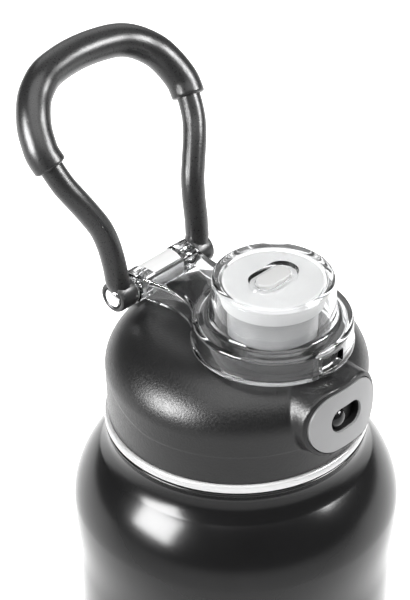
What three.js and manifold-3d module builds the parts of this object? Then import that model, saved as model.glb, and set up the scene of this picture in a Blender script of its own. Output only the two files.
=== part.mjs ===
// Insulated sports bottle: a double-wall steel flask with a screw lid, a flip cover over a
// drinking spout, a push-button latch with a slide lock, and a carrying bow on the hinge pin.
// Millimetres, +Z up. The origin is the centre of the base, on the surface the bottle stands on.
// The release button faces -Y, and the hinge line lies at the back, along X.
import * as THREE from 'three';
import { mergeVertices } from 'three/addons/utils/BufferGeometryUtils.js';
import Module from 'manifold-3d';

const wasm = await Module();
wasm.setup();

// ---- driving dimensions ---------------------------------------------------------------
const GAP = 0.3; // clearance between neighbours that touch
const RIM_Z = 208; // lower edge of the lid above the ground
const BODY_RADIUS = 44.8; // outer wall of the flask
const SHOULDER_SWELL = 1.4; // how far the rolled shoulder stands proud of the wall
const SHOULDER_HEIGHT = 25.6; // from the widest point of the shoulder up to the neck
const SHOULDER_BLEND = 21.6; // from the widest point down to the straight wall
const STEEL_WALL = 0.6;
const VACUUM_GAP = 2.9; // between the two steel walls
const BASE_CORNER = 4;

const CAP_RADIUS = 36; // lid at its lower edge
const CAP_WALL = 2.3;
const CAP_SIDE = 15.2; // height of the upright side of the lid
const CAP_HEIGHT = 28.6; // lower edge to flat top
const LINER_WALL = 1.6;
const THREAD_DEPTH = 1.1;
const THREAD_LEAD = 4;
const THREAD_TURNS = 1.6;
const NECK_RISE = 12; // mouth of the flask above the lower edge of the lid

const SPOUT_RADIUS = 12.2;
const SPOUT_WALL = 2.7;
const SPOUT_RISE = 13.6; // spout above the top of the lid
const SPOUT_CURB = 4.4; // raised curb round the foot of the spout
const STOPPER_THICKNESS = 4.7;
const PLUG_DEPTH = 2.4;

const COVER_STEP = 9.85; // skirt of the flip cover outside the spout
const COVER_WALL = 1.8;
const COVER_SKIRT = 7.8;
const BRIDGE_HEIGHT = 6.6; // hinge arm of the cover

const HINGE_RISE = 30.6; // hinge axis above the lower edge of the lid
const HINGE_INSET = 5.9; // hinge axis inside the radius of the lid
const PIN_RADIUS = 1.6;
const KNUCKLE_RADIUS = 4.65;
const BARREL_RADIUS = 4.3;
const BARREL_HALF = 6.1; // half length of the middle knuckle
const KNUCKLE_LENGTH = 5.4;
const EYE_LENGTH = 6.1;
const EYE_RADIUS = 4.45;

const LEG_RADIUS = 3.35;
const GRIP_RADIUS = 4.75;
const CORE_RADIUS = 1.9;
const BOW_HEIGHT = 57.9; // hinge axis to the middle of the bow
const BOW_SWEEP = 30.6; // how far the top of the bow lies behind the hinge axis

const TAB_LENGTH = 11.2; // stud of the stopper, which shows through the top of the cover
const TAB_WIDTH = 5.6;

const BUTTON_LENGTH = 26;
const BUTTON_HEIGHT = 17.1;
const BUTTON_STAND = 4.4; // button face in front of the side of the lid
const BUTTON_THICKNESS = 2.4;
const BUTTON_RISE = 16.65; // middle of the button above the lower edge of the lid
const BUTTON_TRAVEL = 1.5;
const BOSS_RIM = 2; // border of the boss round the button
const SLOT_LENGTH = 11.4;
const SLOT_HEIGHT = 6.9;
const KNOB_RADIUS = 2.9;
const HOOK_HALF = 3; // half width of the latch hook
const HOOK_DEPTH = 2.6;
const HOOK_ROOM = 0.4; // clearance beside the hook

// ---- places worked out from them --------------------------------------------------------
const SHOULDER_RADIUS = BODY_RADIUS + SHOULDER_SWELL;
const FLASK_RADIUS = BODY_RADIUS - STEEL_WALL - VACUUM_GAP;
const CAP_BORE = CAP_RADIUS - CAP_WALL;
const LINER_RADIUS = CAP_BORE - 0.4;
const LINER_BORE = LINER_RADIUS - LINER_WALL;
const NECK_RADIUS = LINER_BORE - 0.4 - THREAD_DEPTH;
const COLLAR_RADIUS = CAP_RADIUS + 0.3; // neck of the outer shell
const RING_RADIUS = CAP_RADIUS + 1.05;
const RING_HEIGHT = 2.3;
const CAP_TOP = RIM_Z + CAP_HEIGHT;
const LINER_PLATE = RIM_Z + NECK_RISE + 3; // underside of the plate across the liner
const SPOUT_FOOT = LINER_PLATE + 2 + GAP + 1.5 + GAP;
const SPOUT_TOP = CAP_TOP + SPOUT_RISE;
const SPOUT_BORE = SPOUT_RADIUS - SPOUT_WALL;
const STOPPER_RADIUS = SPOUT_RADIUS + 1.6;
const COVER_RADIUS = SPOUT_RADIUS + COVER_STEP;
const COVER_BASE = CAP_TOP + 0.4;
const COVER_TOP = SPOUT_TOP + 0.4 + STOPPER_THICKNESS + GAP + COVER_WALL;
const TOWER_RADIUS = STOPPER_RADIUS + 1 + COVER_WALL; // wall of the cover round the stopper
const COVER_Y = COVER_RADIUS + 0.95 - CAP_RADIUS; // the skirt ends just inside the lid's side
const HINGE_Y = CAP_RADIUS - HINGE_INSET;
const HINGE_Z = RIM_Z + HINGE_RISE;
const KNUCKLE_START = BARREL_HALF + GAP;
const KNUCKLE_END = KNUCKLE_START + KNUCKLE_LENGTH;
const EYE_START = KNUCKLE_END + GAP;
const EYE_END = EYE_START + EYE_LENGTH;
const EYE_X = (EYE_START + EYE_END) / 2;
const BOW_HALF = COVER_RADIUS + GRIP_RADIUS + 0.25; // the open cover passes inside the bow
const FACE_RADIUS = CAP_RADIUS + BUTTON_STAND;
const FACE_LEAN = 0.1; // the button face leans back as it rises
const BUTTON_Z = RIM_Z + BUTTON_RISE;
const HOOK_FRONT = COVER_Y - COVER_RADIUS + COVER_WALL + 0.7; // nose, just inside the skirt
const HOOK_BACK = HOOK_FRONT + HOOK_DEPTH;
const NECK_TOP = RIM_Z - 4.1; // where the shoulder of the outer shell ends
const SLIDE_FACE = FACE_RADIUS - BUTTON_THICKNESS - GAP; // latch slide, behind the button
const SLIDE_BACK = SLIDE_FACE - 1.1;
const HEAD_RADIUS = PIN_RADIUS + 1.28; // heads of the hinge pin
const HEAD_DEPTH = 1.1;
const SLEEVE_BORE = CORE_RADIUS + GAP + 0.1;
const GRIP_START = 0.244; // where the grip takes over from the leg, as a share of the bow
const SPIGOT_END = 0.03; // share of the bow that each eye's spigot fills
const BEFORE_FACE = -FACE_RADIUS - 12; // well in front of the button
const BEHIND_WALL = -CAP_RADIUS * 0.7; // well behind the lid's wall

// ---- shape helpers ------------------------------------------------------------------------
const vec = (x, y, z) => new THREE.Vector3(x, y, z);

/** A closed manifold solid from a closed three.js geometry, whichever way its faces point. */
function solid(geometry) {
  const bare = geometry.clone();
  for (const name of Object.keys(bare.attributes)) {
    if (name !== 'position') bare.deleteAttribute(name);
  }
  const merged = mergeVertices(bare, 1e-4);
  const points = merged.attributes.position.array;
  const index = [...merged.index.array];
  const faces = [];
  let volume = 0;
  for (let i = 0; i < index.length; i += 3) {
    const [a, b, c] = index.slice(i, i + 3);
    if (a === b || b === c || a === c) continue;
    faces.push(a, b, c);
    const [p, q, r] = [a, b, c].map((k) => vec(...points.slice(3 * k, 3 * k + 3)));
    volume += p.dot(q.cross(r));
  }
  if (volume < 0) faces.reverse();
  return new wasm.Manifold(new wasm.Mesh({
    numProp: 3,
    vertProperties: new Float32Array(points),
    triVerts: new Uint32Array(faces),
  }));
}

/** A solid turned about the vertical axis from its closed section of [radius, height] points. */
function turned(section, segments = 48, x = 0, y = 0) {
  const points = section.map(([r, z]) => new THREE.Vector2(Math.max(r, 0), z));
  const onAxis = section[0][0] <= 0 && section[section.length - 1][0] <= 0;
  if (!onAxis) points.push(points[0].clone());
  return solid(new THREE.LatheGeometry(points, segments).rotateX(Math.PI / 2).translate(x, y, 0));
}

/** A box between two corners. */
function block(low, high) {
  const size = high.clone().sub(low);
  const middle = low.clone().add(high).multiplyScalar(0.5);
  return solid(new THREE.BoxGeometry(size.x, size.y, size.z).translate(middle.x, middle.y, middle.z));
}

/** A cylinder along X between two places on the hinge line. */
function crossCylinder(radius, from, to, segments = 24, y = HINGE_Y, z = HINGE_Z) {
  const geometry = new THREE.CylinderGeometry(radius, radius, to - from, segments).rotateZ(Math.PI / 2);
  return solid(geometry.translate((from + to) / 2, y, z));
}

/** A stadium outline, long side along the first axis. */
function stadium(length, height) {
  const radius = height / 2;
  const half = length / 2 - radius;
  const shape = new THREE.Shape();
  shape.absarc(half, 0, radius, -Math.PI / 2, Math.PI / 2);
  shape.absarc(-half, 0, radius, Math.PI / 2, 1.5 * Math.PI);
  shape.closePath();
  return shape;
}

/** A stadium prism that runs along Y, in front of the lid, centred on the button. */
function frontStadium(length, height, from, to, x = 0) {
  const geometry = new THREE.ExtrudeGeometry(stadium(length, height), {
    depth: to - from, bevelEnabled: false, curveSegments: 8,
  });
  return solid(geometry.rotateX(Math.PI / 2).translate(x, to, BUTTON_Z));
}

/** A stadium prism that stands on the top of the cover. */
function topStadium(length, height, from, to) {
  const geometry = new THREE.ExtrudeGeometry(stadium(length, height), {
    depth: to - from, bevelEnabled: false, curveSegments: 6,
  });
  return solid(geometry.translate(0, COVER_Y, from));
}

/** The solid inside a cone of the button's lean, whose radius is given at the button's middle. */
function leaningDrum(radius, segments = 96) {
  const reach = 25;
  return turned([
    [0, BUTTON_Z - reach], [radius + FACE_LEAN * reach, BUTTON_Z - reach],
    [radius - FACE_LEAN * reach, BUTTON_Z + reach], [0, BUTTON_Z + reach],
  ], segments);
}

/** Points of a quarter superellipse that leaves (r0, z0) upright and reaches (r1, z1) level. */
function superArc(r0, z0, r1, z1, power, steps, share = 1) {
  return Array.from({ length: steps + 1 }, (_, i) => {
    const angle = (share * i * Math.PI) / 2 / steps;
    return [
      r1 + (r0 - r1) * Math.abs(Math.cos(angle)) ** (2 / power),
      z0 + (z1 - z0) * Math.sin(angle) ** (2 / power),
    ];
  });
}

/** A polyline moved inwards (towards the axis and downwards) by a wall. */
function inset(points, wall) {
  return points.map(([r, z], i) => {
    const [ra, za] = points[Math.max(i - 1, 0)];
    const [rb, zb] = points[Math.min(i + 1, points.length - 1)];
    const length = Math.hypot(rb - ra, zb - za);
    return [r - ((zb - za) / length) * wall, z + ((rb - ra) / length) * wall];
  });
}

/** A round bar or tube swept along a curve. */
function swept(curve, steps, radius, sides = 10, bore = 0) {
  const shape = new THREE.Shape().absarc(0, 0, radius, 0, 2 * Math.PI);
  if (bore > 0) shape.holes.push(new THREE.Path().absarc(0, 0, bore, 0, 2 * Math.PI, true));
  return solid(new THREE.ExtrudeGeometry(shape, {
    steps, extrudePath: curve, bevelEnabled: false, curveSegments: Math.ceil(sides / 2),
  }));
}

/** A coil of wire round an axis from one point along a direction. */
function coil(start, direction, length, radius, turns, wire) {
  const side = Math.abs(direction.x) > 0.5 ? vec(0, 1, 0) : vec(1, 0, 0);
  const other = direction.clone().cross(side);
  const points = Array.from({ length: turns * 8 + 1 }, (_, i) => {
    const angle = (i * Math.PI) / 4;
    return start.clone()
      .addScaledVector(direction, (length * i) / (turns * 8))
      .addScaledVector(side, radius * Math.cos(angle))
      .addScaledVector(other, radius * Math.sin(angle));
  });
  return swept(new THREE.CatmullRomCurve3(points), turns * 8, wire, 4);
}

// ---- finishes -----------------------------------------------------------------------------
const finish = (color, roughness, metalness) =>
  () => new THREE.MeshStandardMaterial({ color, roughness, metalness });
const powderCoat = finish(0x1b1b1c, 0.5, 0.1);
const polishedSteel = finish(0xe6e6e8, 0.12, 1);
const brushedSteel = finish(0xb9babc, 0.35, 1);
const blackPlastic = finish(0x1d1d1e, 0.55, 0);
const greyPlastic = finish(0x8f9092, 0.45, 0);
const whitePlastic = finish(0xe9e9e8, 0.4, 0);
const softRubber = finish(0x19191a, 0.75, 0);
const clearSilicone = finish(0xdededc, 0.5, 0);
const smokedClear = () => new THREE.MeshStandardMaterial({
  color: 0x77797c, roughness: 0.06, metalness: 0, transparent: true, opacity: 0.45,
});

const bottle = new THREE.Group();

/** Adds a solid to the model as a named mesh. */
function add(name, body, material) {
  const mesh = body.getMesh();
  const geometry = new THREE.BufferGeometry();
  const points = new Float32Array(mesh.vertProperties);
  geometry.setAttribute('position', new THREE.BufferAttribute(points, 3));
  geometry.setIndex([...mesh.triVerts]);
  geometry.computeVertexNormals();
  const part = new THREE.Mesh(geometry, material());
  part.name = name;
  bottle.add(part);
}

// ---- flask ----------------------------------------------------------------------------------
function outerShell() {
  const widest = NECK_TOP - SHOULDER_HEIGHT;
  const corner = Array.from({ length: 3 }, (_, i) => {
    const angle = (i * Math.PI) / 4;
    return [
      BODY_RADIUS - BASE_CORNER + BASE_CORNER * Math.sin(angle),
      BASE_CORNER - BASE_CORNER * Math.cos(angle),
    ];
  });
  const roll = Array.from({ length: 4 }, (_, i) => [
    BODY_RADIUS + (SHOULDER_SWELL * (1 - Math.cos((i * Math.PI) / 4))) / 2,
    widest - SHOULDER_BLEND * (1 - i / 4),
  ]);
  const crown = superArc(SHOULDER_RADIUS, widest, SHOULDER_RADIUS - 22.7, NECK_TOP, 1.72, 9)
    .filter(([r]) => r > COLLAR_RADIUS + 1.8);
  const neck = [
    [COLLAR_RADIUS + 0.5, RIM_Z - 9.6], [COLLAR_RADIUS, RIM_Z - 7], [COLLAR_RADIUS, RIM_Z - 5],
    [COLLAR_RADIUS + 0.5, RIM_Z - 4.2], [COLLAR_RADIUS + 0.5, RIM_Z - RING_HEIGHT - 2 * GAP],
  ];
  const outside = [...corner, ...roll, ...crown, ...neck];
  const lining = inset([...roll, ...crown, ...neck.slice(0, 3)], STEEL_WALL).reverse();
  const foot = BODY_RADIUS - BASE_CORNER - 1.2;
  return turned([
    ...outside, [COLLAR_RADIUS - STEEL_WALL, RIM_Z - RING_HEIGHT - 2 * GAP], ...lining,
    [BODY_RADIUS - STEEL_WALL, 8], [foot, 5], [foot, 0],
  ], 36);
}

function innerFlask() {
  const floor = 7;
  const corner = 9;
  const base = Array.from({ length: 3 }, (_, i) => {
    const angle = (i * Math.PI) / 4;
    return [FLASK_RADIUS - corner + corner * Math.sin(angle), floor + corner - corner * Math.cos(angle)];
  });
  const shoulder = superArc(FLASK_RADIUS, RIM_Z - 40, NECK_RADIUS, RIM_Z - 14, 2, 4);
  const outside = [[0, floor], ...base, ...shoulder, [NECK_RADIUS, RIM_Z + NECK_RISE]];
  const lining = [
    [0, floor + STEEL_WALL], ...inset(base, STEEL_WALL), ...inset(shoulder, STEEL_WALL),
    [NECK_RADIUS - STEEL_WALL, RIM_Z + NECK_RISE],
  ].reverse();
  const wall = turned([...outside, ...lining], 32);
  const start = RIM_Z + 2.4;
  const turn = Array.from({ length: Math.round(THREAD_TURNS * 14) + 1 }, (_, i) => {
    const angle = (i * Math.PI) / 7;
    const radius = NECK_RADIUS + THREAD_DEPTH * 0.15;
    return vec(radius * Math.cos(angle), radius * Math.sin(angle), start + (THREAD_LEAD * i) / 14);
  });
  return wall.add(swept(new THREE.CatmullRomCurve3(turn), turn.length - 1, THREAD_DEPTH * 0.85, 4));
}

add('outer_shell', outerShell(), powderCoat);
add('inner_flask', innerFlask(), brushedSteel);
add('neck_ring', turned([
  [NECK_RADIUS + GAP, RIM_Z - RING_HEIGHT - GAP], [RING_RADIUS - 0.5, RIM_Z - RING_HEIGHT - GAP],
  [RING_RADIUS, RIM_Z - RING_HEIGHT + 0.2], [RING_RADIUS - 0.2, RIM_Z - 1],
  [CAP_RADIUS - 0.1, RIM_Z - GAP], [NECK_RADIUS + GAP, RIM_Z - GAP],
], 40), polishedSteel);
add('base_plate', turned([
  [0, 0], [BODY_RADIUS - BASE_CORNER - 1.6, 0], [BODY_RADIUS - BASE_CORNER - 1.6, STEEL_WALL],
  [0, STEEL_WALL],
], 48), brushedSteel);
add('vacuum_seal', turned([
  [0, STEEL_WALL + GAP], [6, STEEL_WALL + GAP], [5.4, STEEL_WALL + 1.7], [0, STEEL_WALL + 1.9],
], 20), brushedSteel);

// ---- lid ------------------------------------------------------------------------------------
const flatTop = 20.5;
const domeLine = (wall) => superArc(
  CAP_RADIUS + 0.6 - wall, RIM_Z + CAP_SIDE, flatTop - wall, CAP_TOP - wall, 1.8, 5);

/** The hollow under the dome of the lid, from its lower edge up. */
function lidHollow() {
  return turned([
    [0, RIM_Z - 5], [CAP_BORE, RIM_Z - 5], ...domeLine(CAP_WALL), [0, CAP_TOP - CAP_WALL],
  ], 36);
}

/** The raised housing in front that the button works in. */
function buttonBoss() {
  const prism = frontStadium(BUTTON_LENGTH + 2 * BOSS_RIM, BUTTON_HEIGHT + 2 * BOSS_RIM,
    BEFORE_FACE, -CAP_RADIUS * 0.6);
  return prism.intersect(leaningDrum(FACE_RADIUS - 0.3));
}

/** The rear pedestal that the hinge bracket stands in. */
function hingePedestal() {
  const half = BARREL_HALF + 1.4;
  const top = HINGE_Z - KNUCKLE_RADIUS - 0.4;
  const tall = block(vec(-half, HINGE_Y - 6.5, RIM_Z + CAP_SIDE), vec(half, CAP_RADIUS + 2, top));
  return tall.intersect(turned([
    [0, RIM_Z], [CAP_RADIUS + 0.4, RIM_Z], [CAP_RADIUS - 0.4, CAP_TOP], [0, CAP_TOP],
  ], 96));
}

function capShell() {
  const dome = turned([
    [0, RIM_Z], [CAP_RADIUS - 0.3, RIM_Z], [CAP_RADIUS, RIM_Z + 0.4], ...domeLine(0), [0, CAP_TOP],
  ], 44);
  const collar = turned([
    [0, SPOUT_FOOT + 2.6], [SPOUT_RADIUS + 2.6, SPOUT_FOOT + 2.6], [SPOUT_RADIUS + 2.6, CAP_TOP - 1],
    [0, CAP_TOP - 1],
  ], 32, 0, COVER_Y);
  const spoutHole = turned([
    [0, RIM_Z], [SPOUT_RADIUS + GAP, RIM_Z], [SPOUT_RADIUS + GAP, CAP_TOP + 5], [0, CAP_TOP + 5],
  ], 32, 0, COVER_Y);
  const curbRadius = SPOUT_RADIUS + 2.3;
  const curb = turned([
    [0, CAP_TOP - 1], [curbRadius, CAP_TOP - 1], [curbRadius, CAP_TOP + SPOUT_CURB - 0.6],
    [curbRadius - 0.6, CAP_TOP + SPOUT_CURB], [0, CAP_TOP + SPOUT_CURB],
  ], 32, 0, COVER_Y);
  const buttonRoom = frontStadium(BUTTON_LENGTH + 2 * GAP, BUTTON_HEIGHT + 2 * GAP,
    BEFORE_FACE, BEHIND_WALL).subtract(leaningDrum(CAP_RADIUS - 1.4));
  const behindHook = HOOK_BACK + BUTTON_TRAVEL + 0.6;
  const besideHook = HOOK_HALF + HOOK_ROOM;
  const hookTunnel = block(
    vec(-besideHook, -CAP_RADIUS - 1, BUTTON_Z + 2.4),
    vec(besideHook, behindHook, BUTTON_Z + 6));
  const hookShaft = block(
    vec(-besideHook, HOOK_FRONT - HOOK_ROOM, BUTTON_Z + 4),
    vec(besideHook, behindHook, CAP_TOP + 1));
  return dome.add(buttonBoss()).add(hingePedestal()).subtract(lidHollow()).add(collar).add(curb)
    .subtract(spoutHole).subtract(buttonRoom).subtract(hookTunnel).subtract(hookShaft)
    .subtract(bracketFoot(GAP));
}

/** The foot of the hinge bracket, let into the pedestal; grown by a clearance for its pocket. */
function bracketFoot(grow) {
  const half = BARREL_HALF - 1.2 + grow;
  return block(
    vec(-half, HINGE_Y - 2.6 - grow, HINGE_Z - KNUCKLE_RADIUS - 5.4 - grow),
    vec(half, HINGE_Y + 1.8 + grow, HINGE_Z - BARREL_RADIUS + 1 + grow));
}

function hingeBracket() {
  return crossCylinder(BARREL_RADIUS, -BARREL_HALF, BARREL_HALF).add(bracketFoot(0))
    .subtract(crossCylinder(PIN_RADIUS + 1.7, -BARREL_HALF - 1, BARREL_HALF + 1));
}

add('cap_shell', capShell(), blackPlastic);
add('cap_liner', turned([
  [LINER_BORE, RIM_Z + 0.6], [LINER_RADIUS, RIM_Z + 0.6], [LINER_RADIUS, LINER_PLATE - 1],
  [LINER_RADIUS - 1.6, LINER_PLATE + 2], [0, LINER_PLATE + 2], [0, LINER_PLATE],
  [LINER_BORE, LINER_PLATE],
], 48).subtract(turned([
  [0, RIM_Z], [SPOUT_BORE + 0.3, RIM_Z], [SPOUT_BORE + 0.3, CAP_TOP], [0, CAP_TOP],
], 32, 0, COVER_Y)), blackPlastic);
add('lid_seal', turned([
  [NECK_RADIUS - 2.6, RIM_Z + NECK_RISE + GAP], [LINER_BORE - 0.4, RIM_Z + NECK_RISE + GAP],
  [LINER_BORE - 0.4, LINER_PLATE - GAP], [NECK_RADIUS - 2.6, LINER_PLATE - GAP],
], 40), clearSilicone);
add('spout_gasket', turned([
  [SPOUT_BORE + 0.3, LINER_PLATE + 2 + GAP], [SPOUT_RADIUS + 2, LINER_PLATE + 2 + GAP],
  [SPOUT_RADIUS + 2, SPOUT_FOOT - GAP], [SPOUT_BORE + 0.3, SPOUT_FOOT - GAP],
], 32, 0, COVER_Y), clearSilicone);
add('spout', turned([
  [SPOUT_BORE, SPOUT_FOOT], [SPOUT_RADIUS + 2.6, SPOUT_FOOT], [SPOUT_RADIUS + 2.6, SPOUT_FOOT + 2.3],
  [SPOUT_RADIUS, SPOUT_FOOT + 2.3], [SPOUT_RADIUS, SPOUT_TOP - 0.8], [SPOUT_RADIUS - 0.8, SPOUT_TOP],
  [SPOUT_BORE + 0.5, SPOUT_TOP], [SPOUT_BORE, SPOUT_TOP - 0.5],
], 40, 0, COVER_Y), whitePlastic);
add('hinge_bracket', hingeBracket(), whitePlastic);

// ---- hinge ----------------------------------------------------------------------------------
const pinHead = (from, to) => crossCylinder(HEAD_RADIUS, from, to);
add('hinge_pin', crossCylinder(PIN_RADIUS, -EYE_END + 0.2, EYE_END - HEAD_DEPTH)
  .add(pinHead(-EYE_END - 0.3, -EYE_END + HEAD_DEPTH - 0.3)), polishedSteel);
add('pin_cap', pinHead(EYE_END - HEAD_DEPTH + 0.4, EYE_END + 0.4), polishedSteel);
add('torsion_spring', coil(vec(-BARREL_HALF + 1, HINGE_Y, HINGE_Z), vec(1, 0, 0),
  2 * BARREL_HALF - 2, PIN_RADIUS + 0.85, 5, 0.35), brushedSteel);

// ---- flip cover -----------------------------------------------------------------------------
const bridgeTop = COVER_BASE + BRIDGE_HEIGHT;
const shoulderTop = COVER_BASE + COVER_SKIRT;

/** Section of the cover's round part, moved in by a wall. */
function coverSection(wall) {
  const skirt = COVER_RADIUS - wall;
  const tower = TOWER_RADIUS - wall;
  const top = COVER_TOP - wall;
  const step = shoulderTop - wall;
  const base = wall ? COVER_BASE - 1 : COVER_BASE;
  return [
    [0, base], [skirt, base], [skirt - 0.35, step - 0.7], [skirt - 1, step],
    [tower + 2.2, step + 0.5], [tower + 1, step + 2.2], [tower + 0.6, step + 4.5],
    [tower, top - 1.5], [tower - 0.35, top - 0.5], [tower - 1.1, top], [0, top],
  ];
}

/** Plan of the hinge arm, which narrows from the knuckles to a waist and joins the round part. */
function bridgePlan(wall) {
  const wide = KNUCKLE_END - wall;
  const waist = KNUCKLE_END - 2 - wall;
  const flank = COVER_RADIUS * 0.7 - wall;
  const join = COVER_Y + Math.sqrt(COVER_RADIUS ** 2 - (COVER_RADIUS * 0.7) ** 2) - 1;
  const back = HINGE_Y - wall * 3;
  const bend = COVER_Y + COVER_RADIUS + 5;
  const shape = new THREE.Shape();
  shape.moveTo(-wide, back);
  shape.lineTo(-waist + 0.6, bend);
  shape.quadraticCurveTo(-waist + 0.2, COVER_Y + COVER_RADIUS - 2, -flank, join);
  shape.lineTo(-flank, COVER_Y);
  shape.lineTo(flank, COVER_Y);
  shape.lineTo(flank, join);
  shape.quadraticCurveTo(waist - 0.2, COVER_Y + COVER_RADIUS - 2, waist - 0.6, bend);
  shape.lineTo(wide, back);
  shape.closePath();
  return shape;
}

function bridge(wall, from, to) {
  return solid(new THREE.ExtrudeGeometry(bridgePlan(wall), {
    depth: to - from, bevelEnabled: false, curveSegments: 5,
  }).translate(0, 0, from));
}

function flipCover() {
  const lipRadius = COVER_RADIUS + 0.2;
  const lipTop = COVER_BASE + 1.1;
  const lip = turned([
    [0, COVER_BASE], [lipRadius, COVER_BASE], [lipRadius, lipTop], [0, lipTop],
  ], 40, 0, COVER_Y);
  const outside = turned(coverSection(0), 40, 0, COVER_Y)
    .add(lip).add(bridge(0, COVER_BASE, bridgeTop));
  const inside = turned(coverSection(COVER_WALL), 32, 0, COVER_Y)
    .add(bridge(COVER_WALL, COVER_BASE - 1, bridgeTop - COVER_WALL));
  const knuckles = crossCylinder(KNUCKLE_RADIUS, KNUCKLE_START, KNUCKLE_END)
    .add(crossCylinder(KNUCKLE_RADIUS, -KNUCKLE_END, -KNUCKLE_START));
  const barrelRoom = block(
    vec(-KNUCKLE_START, HINGE_Y - BARREL_RADIUS - 0.6, COVER_BASE - 2),
    vec(KNUCKLE_START, HINGE_Y + KNUCKLE_RADIUS + 1, bridgeTop + 1));
  const window = block(
    vec(-HOOK_HALF - 0.6, COVER_Y - COVER_RADIUS - 3, COVER_BASE + 1.6),
    vec(HOOK_HALF + 0.6, COVER_Y - COVER_RADIUS + COVER_WALL + 2, COVER_BASE + 5.2));
  const tabSlot = topStadium(
    TAB_LENGTH + 2 * GAP, TAB_WIDTH + 2 * GAP, COVER_TOP - 5, COVER_TOP + 1);
  const recess = topStadium(
    TAB_LENGTH + 4.5, TAB_WIDTH + 3.4, COVER_TOP - COVER_WALL + 0.7, COVER_TOP + 1);
  return outside.subtract(inside).add(knuckles).subtract(barrelRoom).subtract(window)
    .subtract(tabSlot).subtract(recess)
    .subtract(crossCylinder(PIN_RADIUS + GAP, -EYE_END, EYE_END));
}

function stopper() {
  const bottom = SPOUT_TOP + 0.4;
  const plug = SPOUT_BORE - 0.9;
  const disc = turned([
    [0, bottom - PLUG_DEPTH], [plug - 0.8, bottom - PLUG_DEPTH], [plug, bottom - PLUG_DEPTH + 0.8],
    [plug, bottom], [STOPPER_RADIUS, bottom], [STOPPER_RADIUS, bottom + STOPPER_THICKNESS - 0.6],
    [STOPPER_RADIUS - 0.6, bottom + STOPPER_THICKNESS], [0, bottom + STOPPER_THICKNESS],
  ], 40, 0, COVER_Y);
  const tabFoot = bottom + STOPPER_THICKNESS - 1;
  return disc.add(topStadium(TAB_LENGTH, TAB_WIDTH, tabFoot, COVER_TOP - 0.2));
}

add('flip_cover', flipCover(), smokedClear);
add('stopper', stopper(), clearSilicone);

// ---- button, latch and lock -----------------------------------------------------------------
add('release_button', frontStadium(BUTTON_LENGTH, BUTTON_HEIGHT, BEFORE_FACE, BEHIND_WALL)
  .intersect(leaningDrum(FACE_RADIUS))
  .subtract(leaningDrum(FACE_RADIUS - BUTTON_THICKNESS))
  .subtract(frontStadium(SLOT_LENGTH, SLOT_HEIGHT, BEFORE_FACE, BEHIND_WALL)), greyPlastic);

function latchHook() {
  const low = BUTTON_Z + 2.8;
  const top = COVER_BASE + 4.6;
  const slide = frontStadium(BUTTON_LENGTH - 8, BUTTON_HEIGHT - 4, BEFORE_FACE, BEHIND_WALL)
    .intersect(leaningDrum(SLIDE_FACE)).subtract(leaningDrum(SLIDE_BACK));
  const arm = block(
    vec(-HOOK_HALF, -SLIDE_BACK - 0.1, low), vec(HOOK_HALF, HOOK_BACK, low + 2.8));
  const stem = block(
    vec(-HOOK_HALF, HOOK_FRONT + 0.8, low), vec(HOOK_HALF, HOOK_BACK, top));
  const nose = block(
    vec(-HOOK_HALF, HOOK_FRONT, COVER_BASE + 2.2), vec(HOOK_HALF, HOOK_FRONT + 2, top));
  return slide.add(arm).add(stem).add(nose);
}
add('latch_hook', latchHook(), blackPlastic);

const knobX = -(SLOT_LENGTH / 2 - KNOB_RADIUS - 0.4);
const knobSection = [
  [0, 0], [KNOB_RADIUS, 0], [KNOB_RADIUS, 1.2], [KNOB_RADIUS * 0.8, 2], [KNOB_RADIUS * 0.4, 2.4],
  [0, 2.5],
].map(([r, y]) => new THREE.Vector2(r, y));
add('lock_knob', solid(new THREE.LatheGeometry(knobSection, 20)
  .rotateX(Math.PI).translate(knobX, -SLIDE_FACE - GAP, BUTTON_Z)), blackPlastic);

for (const [side, sign] of [['left', -1], ['right', 1]]) {
  const x = sign * (BUTTON_LENGTH / 2 - 2.5);
  const front = -Math.sqrt((FACE_RADIUS - BUTTON_THICKNESS) ** 2 - (Math.abs(x) + 2) ** 2) + 0.8;
  const back = -Math.sqrt((CAP_RADIUS - 1.4) ** 2 - (Math.abs(x) - 2) ** 2) - 0.6;
  const spring = coil(vec(x, front, BUTTON_Z), vec(0, 1, 0), back - front, 1.5, 2, 0.25);
  add(`button_spring_${side}`, spring, brushedSteel);
}

// ---- carrying bow ---------------------------------------------------------------------------
// Shares of the half width beyond the eye, of the sweep and of the height, up one side of the bow.
const bowLine = [
  [0.02, 0.01, 0.08], [0.06, 0.03, 0.173], [0.11, 0.075, 0.273], [0.16, 0.13, 0.36],
  [0.41, 0.185, 0.444], [0.66, 0.26, 0.53], [0.83, 0.34, 0.605], [0.95, 0.445, 0.69],
  [1, 0.535, 0.75], [0.96, 0.595, 0.79], [0.865, 0.675, 0.84], [0.705, 0.75, 0.89],
  [0.445, 0.835, 0.935], [0.13, 0.895, 0.97], [-0.215, 0.945, 0.988], [-0.8, 0.985, 0.998],
];
const bowSide = (sign) => bowLine.map(([out, back, up]) => vec(
  sign * (EYE_X + 0.5 + (BOW_HALF - EYE_X - 0.5) * out),
  HINGE_Y + BOW_SWEEP * back,
  HINGE_Z + BOW_HEIGHT * up,
));
const bow = new THREE.CatmullRomCurve3([
  ...bowSide(-1), vec(0, HINGE_Y + BOW_SWEEP, HINGE_Z + BOW_HEIGHT), ...bowSide(1).reverse(),
], false, 'centripetal');

/** The stretch of the bow between two shares of its length. */
function bowStretch(from, to) {
  const count = 24;
  const points = Array.from({ length: count + 1 },
    (_, i) => bow.getPointAt(from + ((to - from) * i) / count));
  return new THREE.CatmullRomCurve3(points, false, 'centripetal');
}

const END_GAP = 0.004; // share of the bow left free where two of its parts meet

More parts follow.
